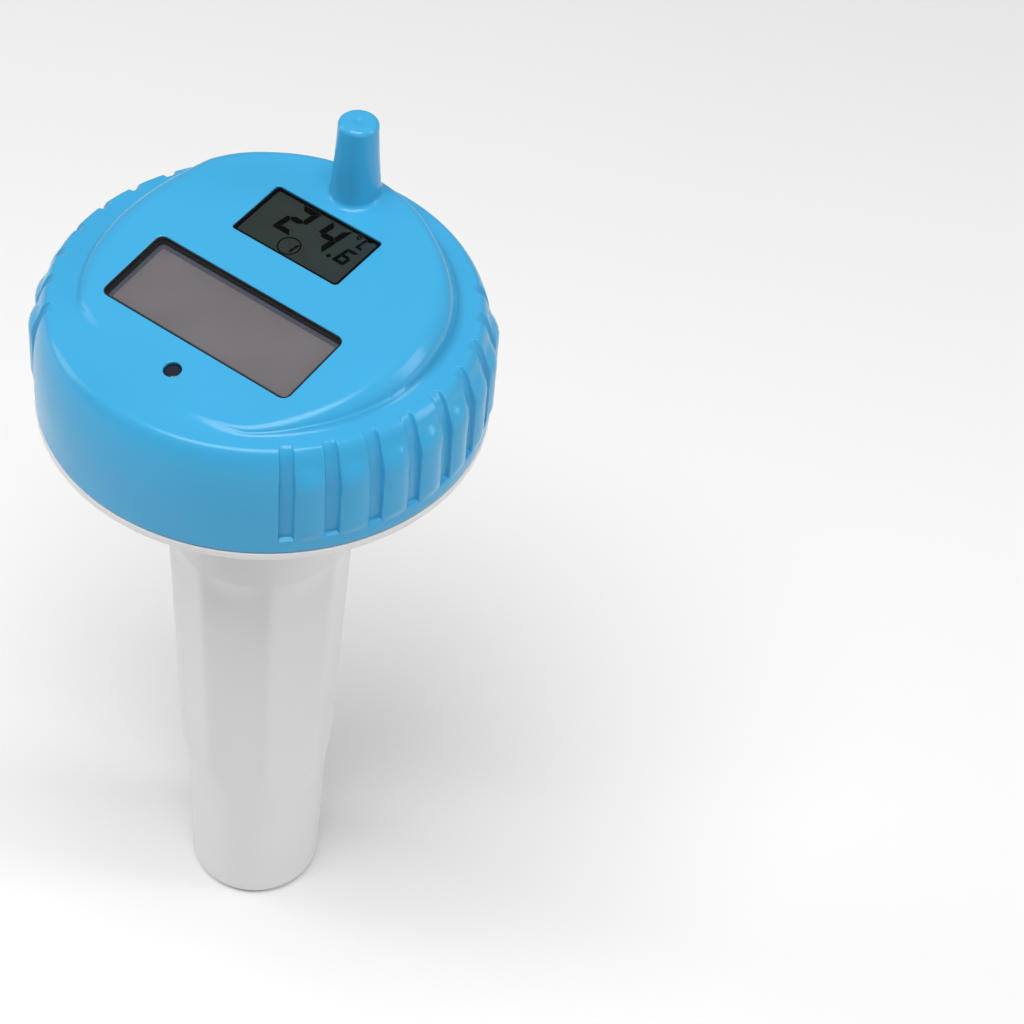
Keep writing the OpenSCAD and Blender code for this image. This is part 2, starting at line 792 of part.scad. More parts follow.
module thermistor() {
    bead_r = 1.3;
    color("black") translate([0, 0, probe_z + stem_r]) rotate_extrude() polygon(concat(
        arc_points([0, 0], bead_r, -90, 0),
        [[bead_r, 2.5], [0, 2.5]]
    ));
}

module sensor_leads() {
    low = probe_z + stem_r + 2.5;
    color("ivory") for (side = [-1, 1])
        translate([side * (wire_r + 0.1), 0, low]) cylinder(r = wire_r, h = board_under_z - 0.1 - low);
}

hull();
ballast();
lid_gasket();
top_cap();
solar_window();
solar_gasket();
solar_cell();
solar_leads();
lcd_window();
lcd_gasket();
lcd_panel();
lcd_frame();
zebra_strips();
led_lens();
status_led();
main_board();
control_chip();
rf_module();
antenna();
tact_switches();
slide_switch();
unit_button();
reset_button();
channel_slider();
board_screws();
battery_tray();
cell_a();
cell_b();
contact_plate();
contact_spring();
series_contact();
battery_leads();
tray_screws();
sensor_stem();
probe_tip();
thermistor();
sensor_leads();
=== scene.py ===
"""Looks of the floating pool thermometer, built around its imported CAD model. Lengths are millimetres
until a mesh is written, in the CAD model's own frame: the tube stands on z = 0, +Y is the aerial post."""

import json
import math

import bmesh
import bpy
from mathutils import Matrix, Vector


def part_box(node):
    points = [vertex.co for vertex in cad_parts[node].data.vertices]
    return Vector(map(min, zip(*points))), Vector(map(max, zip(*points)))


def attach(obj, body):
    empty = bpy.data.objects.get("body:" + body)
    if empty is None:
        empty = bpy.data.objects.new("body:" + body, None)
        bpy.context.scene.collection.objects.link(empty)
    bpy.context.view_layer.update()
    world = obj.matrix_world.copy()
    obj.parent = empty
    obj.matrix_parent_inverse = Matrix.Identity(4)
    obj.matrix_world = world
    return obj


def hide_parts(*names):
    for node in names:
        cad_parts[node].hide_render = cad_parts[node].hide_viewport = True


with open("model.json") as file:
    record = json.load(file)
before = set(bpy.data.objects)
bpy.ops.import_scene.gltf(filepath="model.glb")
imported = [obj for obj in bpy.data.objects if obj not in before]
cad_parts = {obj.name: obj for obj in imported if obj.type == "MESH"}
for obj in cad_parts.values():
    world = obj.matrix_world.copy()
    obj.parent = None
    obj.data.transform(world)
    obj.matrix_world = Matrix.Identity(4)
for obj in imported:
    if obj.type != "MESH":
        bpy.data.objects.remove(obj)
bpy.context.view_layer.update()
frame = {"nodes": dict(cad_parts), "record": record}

MM = 0.001

# The levels and radii that the CAD model gives
HULL_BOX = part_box("hull")
CAP_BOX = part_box("top_cap")
SEAM_Z = round(CAP_BOX[0].z / MM, 2)
RING_Z = SEAM_Z + 28.6
POST_TOP_Z = CAP_BOX[1].z / MM
NECK_TOP_Z = HULL_BOX[1].z / MM

# Folded face of the cap: two slopes that meet at a crease
CREASE_Y = 4.5
CREASE_Z = SEAM_Z + 37.3
FRONT_TILT = math.radians(10)
BACK_TILT = math.radians(5.7)
CREASE_HALF = 1.0
CAP_WALL = 2.4

# Windows in the face
SOLAR_SIZE = (54, 21)
SOLAR_CORNER = 2
SOLAR_Y = -15.5
LCD_SIZE = (30.8, 17)
LCD_CORNER = 1
LCD_Y = 14.2
LED_R = 2.1
LED_X = 1.1
LED_Y = -33.4
LED_STEPS = 32
POST_Y = 31.8


# ---------------------------------------------------------------- small maths


def smooth_min(a, b, k):
    """The smaller of a and b, rounded off over about k where they are close."""
    h = max(k - abs(a - b), 0) / k
    return min(a, b) - h * h * k / 4


def smooth_max(a, b, k):
    """The larger of a and b, rounded off in the same way."""
    return -smooth_min(-a, -b, k)


def ease(x, start, end):
    """0 before start, 1 after end, and a smooth step between."""
    t = min(max((x - start) / (end - start), 0), 1)
    return t * t * (3 - 2 * t)


def arc(centre, radius, start, end, steps):
    """Points of an arc about centre, from one angle in degrees to another."""
    angles = [math.radians(start + (end - start) * i / steps) for i in range(steps + 1)]
    return [(centre[0] + radius * math.cos(a), centre[1] + radius * math.sin(a)) for a in angles]


def on_slope(tilt, x, y, depth):
    """The point at x, at y along a slope from the crease, and at a depth under the face."""
    return (
        x,
        CREASE_Y + y * math.cos(tilt) + depth * math.sin(tilt),
        CREASE_Z + y * math.sin(tilt) - depth * math.cos(tilt),
    )


def slope_y(tilt, y):
    """The distance along a slope, from the crease, of what lies at y seen from above."""
    return (y - CREASE_Y) / math.cos(tilt)


def face_z(y, depth=0):
    """Height of the folded face at y, with a narrow strip in place of a sharp crease."""
    front = CREASE_Z + (y - CREASE_Y) * math.tan(FRONT_TILT)
    back = CREASE_Z + (y - CREASE_Y) * math.tan(BACK_TILT)
    height = front if y < CREASE_Y else back
    if abs(y - CREASE_Y) < CREASE_HALF:
        low = CREASE_Z - CREASE_HALF * math.tan(FRONT_TILT)
        high = CREASE_Z + CREASE_HALF * math.tan(BACK_TILT)
        height = low + (high - low) * (y - CREASE_Y + CREASE_HALF) / (2 * CREASE_HALF)
    return height - depth / math.cos(FRONT_TILT if y < CREASE_Y else BACK_TILT)


# ---------------------------------------------------------------- meshes


def turned(radius, angle, z, centre=(0, 0)):
    """The point at a radius and an angle, in radians, about an upright axis."""
    return centre[0] + radius * math.cos(angle), centre[1] + radius * math.sin(angle), z


def ring(bm, points):
    return [bm.verts.new(p) for p in points]


def bridge(bm, low, high):
    """Quads between two closed rings of as many points."""
    count = len(low)
    for i in range(count):
        j = (i + 1) % count
        bm.faces.new((low[i], low[j], high[j], high[i]))


def close(bm, points, centre):
    """A fan that closes a ring at its centre."""
    tip = bm.verts.new(centre)
    for i, point in enumerate(points):
        bm.faces.new((point, points[(i + 1) % len(points)], tip))


def loft(bm, rings):
    for low, high in zip(rings, rings[1:]):
        bridge(bm, low, high)


def loop_edges(bm, points):
    edges = []
    for i, point in enumerate(points):
        other = points[(i + 1) % len(points)]
        edges.append(bm.edges.get((point, other)) or bm.edges.new((point, other)))
    return edges


def piece(name, bm, material, body, smooth=True):
    """A mesh object, in metres, that rides on a body of the CAD model."""
    bmesh.ops.recalc_face_normals(bm, faces=bm.faces)
    bmesh.ops.scale(bm, vec=(MM, MM, MM), verts=bm.verts)
    mesh = bpy.data.meshes.new(name)
    bm.to_mesh(mesh)
    bm.free()
    mesh.materials.append(material)
    for polygon in mesh.polygons:
        polygon.use_smooth = smooth
    obj = bpy.data.objects.new(name, mesh)
    bpy.context.scene.collection.objects.link(obj)
    if smooth:
        weighted = obj.modifiers.new("weighted_normals", "WEIGHTED_NORMAL")
        weighted.keep_sharp = True
    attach(obj, body)
    return obj


def lathe_rings(bm, profile, columns=64, centre=(0, 0)):
    """One ring of points for each (radius, height) of a profile."""
    turns = [2 * math.pi * i / columns for i in range(columns)]
    return [ring(bm, [turned(r, a, z, centre) for a in turns]) for r, z in profile]


def closed_lathe(bm, profile, columns=64, centre=(0, 0)):
    """A solid of revolution whose profile is a closed outline."""
    rings = lathe_rings(bm, profile, columns, centre)
    loft(bm, rings + rings[:1])


def outline(width, height, radius, steps=5):
    """A rectangle with round corners about the origin."""
    points = []
    for sx, sy, start in ((1, 1, 0), (-1, 1, 90), (-1, -1, 180), (1, -1, 270)):
        centre = (sx * (width / 2 - radius), sy * (height / 2 - radius))
        points += arc(centre, radius, start, start + 90, steps)
    return points


def slope_plate(bm, tilt, y, points, top, bottom):
    """A flat plate between two depths under a slope. points is its outline about y."""
    middle = slope_y(tilt, y)
    rings = [ring(bm, [on_slope(tilt, px, middle + py, d) for px, py in points]) for d in (top, bottom)]
    bridge(bm, rings[1], rings[0])
    bm.faces.new(rings[0])
    bm.faces.new(list(reversed(rings[1])))


def slope_frame(bm, tilt, y, outer, inner, top, bottom):
    """A flat frame between two depths under a slope and two outlines of as many points."""
    middle = slope_y(tilt, y)
    sides = [
        ring(bm, [on_slope(tilt, px, middle + py, depth) for px, py in points])
        for points, depth in ((outer, top), (inner, top), (inner, bottom), (outer, bottom))
    ]
    loft(bm, sides + sides[:1])


# ---------------------------------------------------------------- materials


NOISE_RANGE = (0.3, 0.7)
GLOSS_SPREAD = 0.15


class Nodes:
    """A material's node tree, with a short way to add nodes and link them."""

    def __init__(self, name):
        self.material = bpy.data.materials.new(name)
        self.material.use_nodes = True
        self.tree = self.material.node_tree
        self.shader = self.tree.nodes["Principled BSDF"]
        self.output = self.tree.nodes["Material Output"]
        self.place = self.add("ShaderNodeTexCoord").outputs["Object"]

    def add(self, kind, **inputs):
        node = self.tree.nodes.new(kind)
        for name, value in inputs.items():
            self.set(node, name.replace("_", " "), value)
        return node

    def set(self, node, name, value):
        socket = node.inputs[name]
        if isinstance(value, bpy.types.NodeSocket):
            self.tree.links.new(value, socket)
        elif isinstance(value, (tuple, list)) and len(value) == 3 and socket.type == "RGBA":
            socket.default_value = (*value, 1)
        else:
            socket.default_value = value

    def noise(self, size, detail=3.0, stretch=(1, 1, 1)):
        """Noise whose features are about size millimetres across."""
        mapping = self.add("ShaderNodeMapping", Vector=self.place, Scale=tuple(stretch))
        scale = 1 / (size * MM)
        texture = self.add("ShaderNodeTexNoise", Vector=mapping.outputs[0], Scale=scale, Detail=detail)
        return texture.outputs["Fac"]

    def between(self, factor, low, high):
        """A number that goes from low to high over the middle of the factor's range, where noise lies."""
        node = self.add("ShaderNodeMapRange", Value=factor)
        node.inputs["From Min"].default_value = NOISE_RANGE[0]
        node.inputs["From Max"].default_value = NOISE_RANGE[1]
        node.inputs["To Min"].default_value = low
        node.inputs["To Max"].default_value = high
        return node.outputs[0]

    def mix(self, factor, low, high):
        """A colour between two others."""
        node = self.tree.nodes.new("ShaderNodeMix")
        node.data_type = "RGBA"
        for socket, value in ((node.inputs[0], factor), (node.inputs[6], low), (node.inputs[7], high)):
            if isinstance(value, bpy.types.NodeSocket):
                self.tree.links.new(value, socket)
            else:
                socket.default_value = (*value, 1) if isinstance(value, (tuple, list)) else value
        return node.outputs[2]

    def bump(self, height, depth, strength=1.0):
        """Bump of depth millimetres from a height texture."""
        node = self.add("ShaderNodeBump", Height=height, Strength=strength, Distance=depth * MM)
        self.set(self.shader, "Normal", node.outputs[0])

    def paint(self, **inputs):
        for name, value in inputs.items():
            self.set(self.shader, name.replace("_", " "), value)
        return self.material


def plastic(name, colour, roughness=0.3, shade=0.06, grain=0.35, relief=0.004, stain=18, ior=1.5):
    """Moulded plastic: a little unevenness in colour and gloss, and a fine moulded grain."""
    n = Nodes(name)
    darker = tuple(c * (1 - shade) for c in colour)
    lighter = tuple(min(c * (1 + shade), 1) for c in colour)
    base = n.mix(n.between(n.noise(stain), 0, 1), darker, lighter)
    n.bump(n.noise(grain, 2.0), relief)
    gloss_cloud = n.noise(stain * 0.6, 5.0)
    gloss = n.between(gloss_cloud, roughness * (1 - GLOSS_SPREAD), roughness * (1 + GLOSS_SPREAD))
    return n.paint(Base_Color=base, Roughness=gloss, IOR=ior)


def rubber(name, colour, roughness=0.75):
    """Soft rubber: dull, with a fine sandy skin."""
    n = Nodes(name)
    base = n.mix(n.noise(1.5, 5.0), colour, tuple(min(c * 1.5 + 0.004, 1) for c in colour))
    n.bump(n.noise(0.15, 2.0), 0.02)
    return n.paint(Base_Color=base, Roughness=roughness)


def metal(name, colour, roughness=0.25, stretch=(1, 1, 1), tarnish=0.25, grain=0.3):
    """Bare metal, drawn or stamped: streaks along one way, and a light tarnish."""
    n = Nodes(name)
    dull = tuple(c * (1 - tarnish) for c in colour)
    base = n.mix(n.between(n.noise(4, 6.0), 0, 1), dull, colour)
    streaks = n.noise(grain, 4.0, stretch)
    n.bump(streaks, 0.01)
    gloss = n.between(streaks, roughness * 0.7, roughness * 1.4)
    return n.paint(Base_Color=base, Roughness=gloss, Metallic=1.0)


def cast_iron(name, colour):
    """Cast iron: a coarse pitted skin."""
    n = Nodes(name)
    pits = n.noise(0.8, 8.0)
    base = n.mix(n.between(pits, 0, 1), tuple(c * 0.6 for c in colour), colour)
    n.bump(pits, 0.15)
    return n.paint(Base_Color=base, Roughness=n.between(pits, 0.75, 0.5), Metallic=0.7)


def clear_pane(name, tint, haze, ior=1.45):
    """Thin clear acrylic: what lies behind shows through, under a gloss on its outer faces only."""
    n = Nodes(name)
    through = n.add("ShaderNodeBsdfTransparent", Color=tint)
    gloss = n.add("ShaderNodeBsdfGlossy", Color=(1, 1, 1), Roughness=n.between(n.noise(9), haze, haze * 2))
    fresnel = n.add("ShaderNodeFresnel", IOR=ior)
    facing = n.add("ShaderNodeNewGeometry").outputs["Backfacing"]
    outer = n.mix(facing, (1, 1, 1), (0, 0, 0))
    shine = n.add("ShaderNodeMath")
    shine.operation = "MULTIPLY"
    n.tree.links.new(fresnel.outputs[0], shine.inputs[0])
    n.tree.links.new(outer, shine.inputs[1])
    n.tree.nodes.remove(n.shader)
    mixed = n.tree.nodes.new("ShaderNodeMixShader")
    n.tree.links.new(shine.outputs[0], mixed.inputs[0])
    n.tree.links.new(through.outputs[0], mixed.inputs[1])
    n.tree.links.new(gloss.outputs[0], mixed.inputs[2])
    n.tree.links.new(mixed.outputs[0], n.output.inputs[0])
    return n.material


def solar_face(name):
    """Amorphous solar cell under matte resin: warm grey with a fine speckle and a soft cloud."""
    n = Nodes(name)
    speckle = n.noise(0.25, 2.0)
    cloud = n.noise(16, 4.0)
    tone = n.mix(n.between(cloud, 0, 1), (0.168, 0.154, 0.166), (0.192, 0.178, 0.19))
    base = n.mix(n.between(speckle, 0, 0.25), tone, (0.26, 0.24, 0.245))
    n.bump(speckle, 0.012)
    return n.paint(Base_Color=base, Roughness=n.between(cloud, 0.5, 0.6), IOR=1.45)


def lcd_film(name):
    """Rear film of a reflective display: dark green-grey with a fine satin grain."""
    n = Nodes(name)
    cloud = n.between(n.noise(7, 3.0), 0, 1)
    base = n.mix(cloud, (0.021, 0.030, 0.029), (0.028, 0.037, 0.036))
    n.bump(n.noise(0.12, 2.0), 0.004)
    return n.paint(Base_Color=base, Roughness=0.5)


def board_face(name):
    """Green solder mask over faint copper tracks."""
    n = Nodes(name)
    brick = n.add("ShaderNodeTexBrick", Vector=n.place, Scale=1 / (14 * MM))
    n.set(brick, "Color1", (0.012, 0.11, 0.04))
    n.set(brick, "Color2", (0.014, 0.13, 0.045))
    n.set(brick, "Mortar", (0.03, 0.2, 0.07))
    n.set(brick, "Mortar Size", 0.012)
    n.bump(brick.outputs["Fac"], 0.03)
    return n.paint(Base_Color=brick.outputs["Color"], Roughness=n.between(n.noise(6), 0.3, 0.4), IOR=1.5)


def cell_sleeve(name):
    """Printed sleeve of a battery: gold with a black end band, no lettering."""
    n = Nodes(name)
    half_length = 25 * MM
    split = n.add("ShaderNodeSeparateXYZ", Vector=n.place)
    distance = n.add("ShaderNodeMath", Value=split.outputs["X"])
    distance.operation = "ABSOLUTE"
    share = n.add("ShaderNodeMath", Value=distance.outputs[0])
    share.operation = "MULTIPLY"
    share.inputs[1].default_value = 1 / half_length
    ramp = n.add("ShaderNodeValToRGB", Fac=share.outputs[0])
    ramp.color_ramp.interpolation = "CONSTANT"
    ramp.color_ramp.elements[0].color = (0.55, 0.33, 0.07, 1)
    ramp.color_ramp.elements[1].color = (0.02, 0.02, 0.022, 1)
    ramp.color_ramp.elements[1].position = 0.62
    n.bump(n.noise(1.2), 0.01)
    gloss = n.between(n.noise(5), 0.2, 0.32)
    return n.paint(Base_Color=ramp.outputs["Color"], Roughness=gloss, Metallic=0.35)


def zebra(name):
    """Striped conductive rubber: thin carbon layers between pale ones."""
    n = Nodes(name)
    wave = n.add("ShaderNodeTexWave", Vector=n.place, Scale=1 / (2 * MM))
    base = n.mix(wave.outputs["Fac"], (0.05, 0.05, 0.055), (0.45, 0.46, 0.5))
    n.bump(wave.outputs["Fac"], 0.02)
    return n.paint(Base_Color=base, Roughness=0.7)


CAP_BLUE = plastic(
    "cap_blue", (0.048, 0.37, 0.655), roughness=0.21, shade=0.025, grain=0.9, relief=0.0012,
    stain=40, ior=1.38,
)
HULL_WHITE = plastic(
    "hull_white", (0.75, 0.75, 0.75), roughness=0.34, shade=0.015, grain=0.8, relief=0.0015, stain=45
)
WALL_BLACK = plastic("wall_black", (0.008, 0.008, 0.009), roughness=0.35, stain=6)
SOLAR_GLASS = clear_pane("solar_glass", (0.93, 0.93, 0.93), 0.08)
LCD_GLASS = clear_pane("lcd_glass", (0.9, 0.92, 0.91), 0.06, ior=1.14)
INK_BLACK = plastic("ink_black", (0.003, 0.003, 0.003), roughness=0.6, stain=5, ior=1.08)
# Dull blue-grey used as painted shadow on the solar cell's edge
PAINTED_SHADOW_GREY = plastic("painted_shadow_grey", (0.075, 0.085, 0.12), roughness=0.5, stain=5)
LENS_DARK = plastic("lens_dark", (0.012, 0.016, 0.028), roughness=0.12, stain=4)

FINISHES = {
    "hull_white": HULL_WHITE,
    "ballast_iron": cast_iron("ballast_iron", (0.16, 0.155, 0.15)),
    "seal_rubber": rubber("seal_rubber", (0.33, 0.35, 0.37)),
    "cap_blue": CAP_BLUE,
    "clear_pane": SOLAR_GLASS,
    "black_rubber": plastic(
        "black_rubber", (0.01, 0.011, 0.014), roughness=0.5, relief=0.001, stain=5, ior=1.3
    ),
    "solar_silicon": solar_face("solar_silicon"),
    "red_wire": plastic("red_wire", (0.45, 0.02, 0.015), roughness=0.35, stain=3),
    "lcd_glass": lcd_film("lcd_film"),
    "frame_plastic": plastic("frame_plastic", (0.5, 0.51, 0.52), roughness=0.5, grain=0.2, relief=0.01),
    "zebra_rubber": zebra("zebra_rubber"),
    "dark_lens": LENS_DARK,
    "led_epoxy": plastic("led_epoxy", (0.75, 0.36, 0.3), roughness=0.15, stain=2),
    "board_green": board_face("board_green"),
    "chip_black": plastic(
        "chip_black", (0.018, 0.018, 0.019), roughness=0.5, grain=0.12, relief=0.008, stain=2
    ),
    "shield_tin": metal("shield_tin", (0.72, 0.72, 0.7), roughness=0.3, stretch=(1, 8, 1)),
    "antenna_copper": metal("antenna_copper", (0.85, 0.42, 0.22), roughness=0.2),
    "key_orange": plastic("key_orange", (0.72, 0.16, 0.012), roughness=0.35, stain=3),
    "key_white": plastic("key_white", (0.72, 0.72, 0.7), roughness=0.35, stain=3),
    "screw_steel": metal("screw_steel", (0.7, 0.7, 0.72), roughness=0.22),
    "tray_plastic": plastic("tray_plastic", (0.42, 0.43, 0.45), roughness=0.48, grain=0.25, relief=0.01),
    "cell_label": cell_sleeve("cell_label"),
    "contact_nickel": metal("contact_nickel", (0.76, 0.73, 0.68), roughness=0.2, stretch=(1, 1, 10)),
    "stem_white": plastic("stem_white", (0.62, 0.62, 0.61), roughness=0.45, grain=0.2),
    "probe_steel": metal("probe_steel", (0.68, 0.68, 0.68), roughness=0.28, stretch=(10, 10, 1)),
    "white_wire": plastic("white_wire", (0.62, 0.61, 0.57), roughness=0.4, stain=3),
}

for part in frame["record"]["subparts"]:
    node = frame["nodes"][part["node"]]
    node.data.materials.clear()
    node.data.materials.append(FINISHES[part["material_slot"]])


# ---------------------------------------------------------------- camera, floor and light

# The camera looks down at the float from its front right. The float stands left of the picture's
# middle, so the camera is turned a little to its right and down after it is aimed.
TARGET = Vector((0, 0, 147.4)) * MM
CAMERA_DISTANCE = 0.7
CAMERA_LENS = 101.4
CAMERA_UP = math.radians(45.47)
CAMERA_ROUND = math.radians(39.2)
CAMERA_ROLL = math.radians(1.18)
TURN_RIGHT = math.radians(4.94)
TURN_DOWN = math.radians(0.765)


def add_camera():
    towards = Vector((
        math.cos(CAMERA_UP) * math.sin(CAMERA_ROUND),
        -math.cos(CAMERA_UP) * math.cos(CAMERA_ROUND),
        math.sin(CAMERA_UP),
    ))
    data = bpy.data.cameras.new("camera")
    data.lens = CAMERA_LENS
    data.sensor_width = 36
    camera = bpy.data.objects.new("camera", data)
    bpy.context.scene.collection.objects.link(camera)
    aim = (-towards).to_track_quat("-Z", "Y").to_matrix()
    turn = Matrix.Rotation(CAMERA_ROLL, 3, "Z") @ Matrix.Rotation(-TURN_RIGHT, 3, "Y")
    turn = turn @ Matrix.Rotation(-TURN_DOWN, 3, "X")
    camera.matrix_world = Matrix.Translation(TARGET + towards * CAMERA_DISTANCE) @ (aim @ turn).to_4x4()
    bpy.context.scene.camera = camera


def add_floor():
    """A wide round sheet of pale paper, just under the float's foot."""
    radius, level = 4000, -0.2
    bm = bmesh.new()
    rim = lathe_rings(bm, [(radius, level)], 96)[0]
    close(bm, rim, (0, 0, level))
    bmesh.ops.recalc_face_normals(bm, faces=bm.faces)
    bmesh.ops.scale(bm, vec=(MM, MM, MM), verts=bm.verts)
    mesh = bpy.data.meshes.new("floor")
    bm.to_mesh(mesh)
    bm.free()
    n = Nodes("floor_paper")
    base = n.mix(n.noise(300), (0.9, 0.9, 0.9), (0.92, 0.92, 0.92))
    mesh.materials.append(n.paint(Base_Color=base, Roughness=0.9))
    floor = bpy.data.objects.new("floor", mesh)
    bpy.context.scene.collection.objects.link(floor)


def add_softbox(name, place, power, width, height, shine, look_at=(0, 0, 0.15)):
    """A rectangular light: places in metres, power in watts. shine is the strength of its glints."""
    data = bpy.data.lights.new(name, "AREA")
    data.shape = "RECTANGLE"
    data.size = width
    data.size_y = height
    data.energy = power
    data.specular_factor = shine
    light = bpy.data.objects.new(name, data)
    light.location = place
    light.rotation_euler = (Vector(look_at) - Vector(place)).to_track_quat("-Z", "Y").to_euler()
    light.visible_camera = False
    bpy.context.scene.collection.objects.link(light)


def add_world(strength):
    world = bpy.data.worlds.new("studio")
    world.use_nodes = True
    background = world.node_tree.nodes["Background"]
    background.inputs["Color"].default_value = (1, 1, 1, 1)
    background.inputs["Strength"].default_value = strength
    bpy.context.scene.world = world


add_camera()
add_floor()
add_world(0.27)
add_softbox("top_softbox", (0.1, -0.35, 1.4), 16, 1.0, 0.8, shine=0.7)
add_softbox("left_softbox", (-1.0, -0.45, 0.55), 2.5, 0.4, 0.8, shine=0.35)
add_softbox("right_softbox", (0.9, 0.5, 0.6), 3, 0.3, 0.8, shine=0.6)
bpy.context.scene.view_settings.view_transform = "Standard"


# ---------------------------------------------------------------- white float

FOOT_R = 17.1
FOOT_FILLET = 3.0
FOOT_DRAFT = math.radians(1.5)
OCTAGON_R = 22.7
OCTAGON_Z = 116.0
OCTAGON_DRAFT = math.radians(2.2)
CORNER_CUT_Z = (42.0, 58.0)
COLLAR_Z = (126.0, 134.0)
COLLAR_R = (21.3, 23.3)
DISH_LOW_R = 23.5
DISH_FILLET = 8.0
BOWL_R = 41.0
BOWL_SLOPE = (12, 48)
BOWL_INSET = 1.0
BOWL_DROP = 0.3
FLANGE_R = 53.2
FLANGE_TOP = SEAM_Z - 0.2
FLANGE_LOW = FLANGE_TOP - 2.0
FLANGE_ROUND = (0.3, 0.35)
NECK_R = 48.6
NECK_ROUND = 0.4
NECK_BORE_R = 46.4
HULL_WALL = 2.0
HULL_FLOOR = 2.4
FLOOR_ROUND = 2.0
TUBE_TOP = 133
TUBE_COLUMNS = 256

# Heights of the tube's rings: close together where its section turns from round to eight-sided and back
TUBE_LEVELS = [8, 16, 24, 32, 38, 40, 42, 43.5, 45, 47, 49, 51, 53, 55, 57, 58, 59, 61, 64, 70, 80, 90, 100]
TUBE_LEVELS += [108, 114, 117, 119, 121, 123, 124.5, 126, 127.5, 129, 130.5, 132]


def cone_r(z):
    """Radius of the round lower tube."""
    return FOOT_R + z * math.tan(FOOT_DRAFT)


def octagon_corner(z):
    """Distance from the axis of the corners of the eight-sided tube, before they are softened."""
    return OCTAGON_R + (z - OCTAGON_Z) * math.tan(OCTAGON_DRAFT)


def octagon_radius(angle, z, sharpness=46):
    """Radius of an eight-sided tube with soft corners, whose corners lie on the axes."""
    flat = octagon_corner(z) * math.cos(math.pi / 8)
    total = 0
    for i in range(8):
        facing = math.cos(angle - math.pi / 8 - i * math.pi / 4)
        if facing > 0.3:
            total += facing**sharpness
    return flat / total ** (1 / sharpness)


def tube_radius(angle, z):
    """Radius of the tube from its round foot, through eight flats, to its round collar."""
    # A round limit cuts the corners off near the foot. It widens upwards until it is clear of them.
    cut = (z - CORNER_CUT_Z[0]) / (CORNER_CUT_Z[1] - CORNER_CUT_Z[0])
    start = cone_r(CORNER_CUT_Z[0])
    limit = start + (octagon_corner(CORNER_CUT_Z[1]) + 0.3 - start) * max(cut, 0) + max(cut - 1, 0) * 6
    lower = cone_r(min(z, CORNER_CUT_Z[0])) if cut <= 0 else limit
    radius = smooth_min(lower, octagon_radius(angle, z), 0.5)
    rise = (z - COLLAR_Z[0]) / (COLLAR_Z[1] - COLLAR_Z[0])
    collar = COLLAR_R[0] + (COLLAR_R[1] - COLLAR_R[0]) * rise
    return smooth_max(radius, collar, 0.8) if z > OCTAGON_Z - 6 else radius


def float_hull():
    """The white float in one shell: foot, tube, dish, flange and neck, then back down its inside."""
    bm = bmesh.new()
    turns = [2 * math.pi * i / TUBE_COLUMNS for i in range(TUBE_COLUMNS)]
    foot = arc((FOOT_R - FOOT_FILLET, FOOT_FILLET), FOOT_FILLET, -90, 0, 8)
    rings = lathe_rings(bm, foot, TUBE_COLUMNS)
    first_foot = rings[0]
    for z in TUBE_LEVELS:
        rings.append(ring(bm, [turned(tube_radius(a, z), a, z) for a in turns]))
    bowl_centre = (
        FLANGE_R - BOWL_INSET - BOWL_R * math.sin(math.radians(BOWL_SLOPE[1])),
        FLANGE_LOW - BOWL_DROP + BOWL_R * math.cos(math.radians(BOWL_SLOPE[1])),
    )
    fillet_x = DISH_LOW_R + DISH_FILLET
    fillet_z = bowl_centre[1] - (BOWL_R + DISH_FILLET) * math.cos(math.radians(BOWL_SLOPE[0]))
    bowl_arc = (BOWL_SLOPE[0] - 90, BOWL_SLOPE[1] - 90)
    outside = arc((fillet_x, fillet_z), DISH_FILLET, 180, 90 + BOWL_SLOPE[0], 10)
    outside += arc(bowl_centre, BOWL_R, *bowl_arc, 16)
    low_round, top_round = FLANGE_ROUND
    outside += arc((FLANGE_R - low_round, FLANGE_LOW + low_round), low_round, -90, 0, 3)
    outside += arc((FLANGE_R - top_round, FLANGE_TOP - top_round), top_round, 0, 90, 3)
    outside += [(NECK_R, FLANGE_TOP)]
    outside += arc((NECK_R - NECK_ROUND, NECK_TOP_Z - NECK_ROUND), NECK_ROUND, 0, 90, 3)
    inner_slope = math.degrees(math.asin((NECK_BORE_R - bowl_centre[0]) / (BOWL_R - HULL_WALL)))
    flat = math.cos(math.pi / 8)
    inside = [(NECK_BORE_R, NECK_TOP_Z)]
    inside += arc(bowl_centre, BOWL_R - HULL_WALL, inner_slope - 90, BOWL_SLOPE[0] - 90, 10)
    inside += arc((fillet_x, fillet_z), DISH_FILLET + HULL_WALL, 90 + BOWL_SLOPE[0], 180, 6)
    for z in (TUBE_TOP, CORNER_CUT_Z[1]):
        inside += [(octagon_corner(z) * flat - HULL_WALL, z)]
    inside += [(cone_r(CORNER_CUT_Z[0]) - HULL_WALL, CORNER_CUT_Z[0])]
    inside += arc((FOOT_R - HULL_WALL - FLOOR_ROUND, HULL_FLOOR + FLOOR_ROUND), FLOOR_ROUND, 0, -90, 4)
    rings += lathe_rings(bm, outside + inside, TUBE_COLUMNS)
    loft(bm, rings)
    close(bm, list(reversed(first_foot)), (0, 0, 0))
    close(bm, rings[-1], (0, 0, HULL_FLOOR))
    add_thread(bm, NECK_R - RIDGE_ROOT, NECK_R + RIDGE_OUT, SEAM_Z + 7)
    shell = piece("float_shell", bm, HULL_WHITE, "float_hull")
    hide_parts("hull")


THREAD_LEAD = 12.0
THREAD_STARTS = 4
RIDGE_SPAN = 50
RIDGE_H = 1.2
RIDGE_ROOT = 0.3
RIDGE_OUT = 1.4


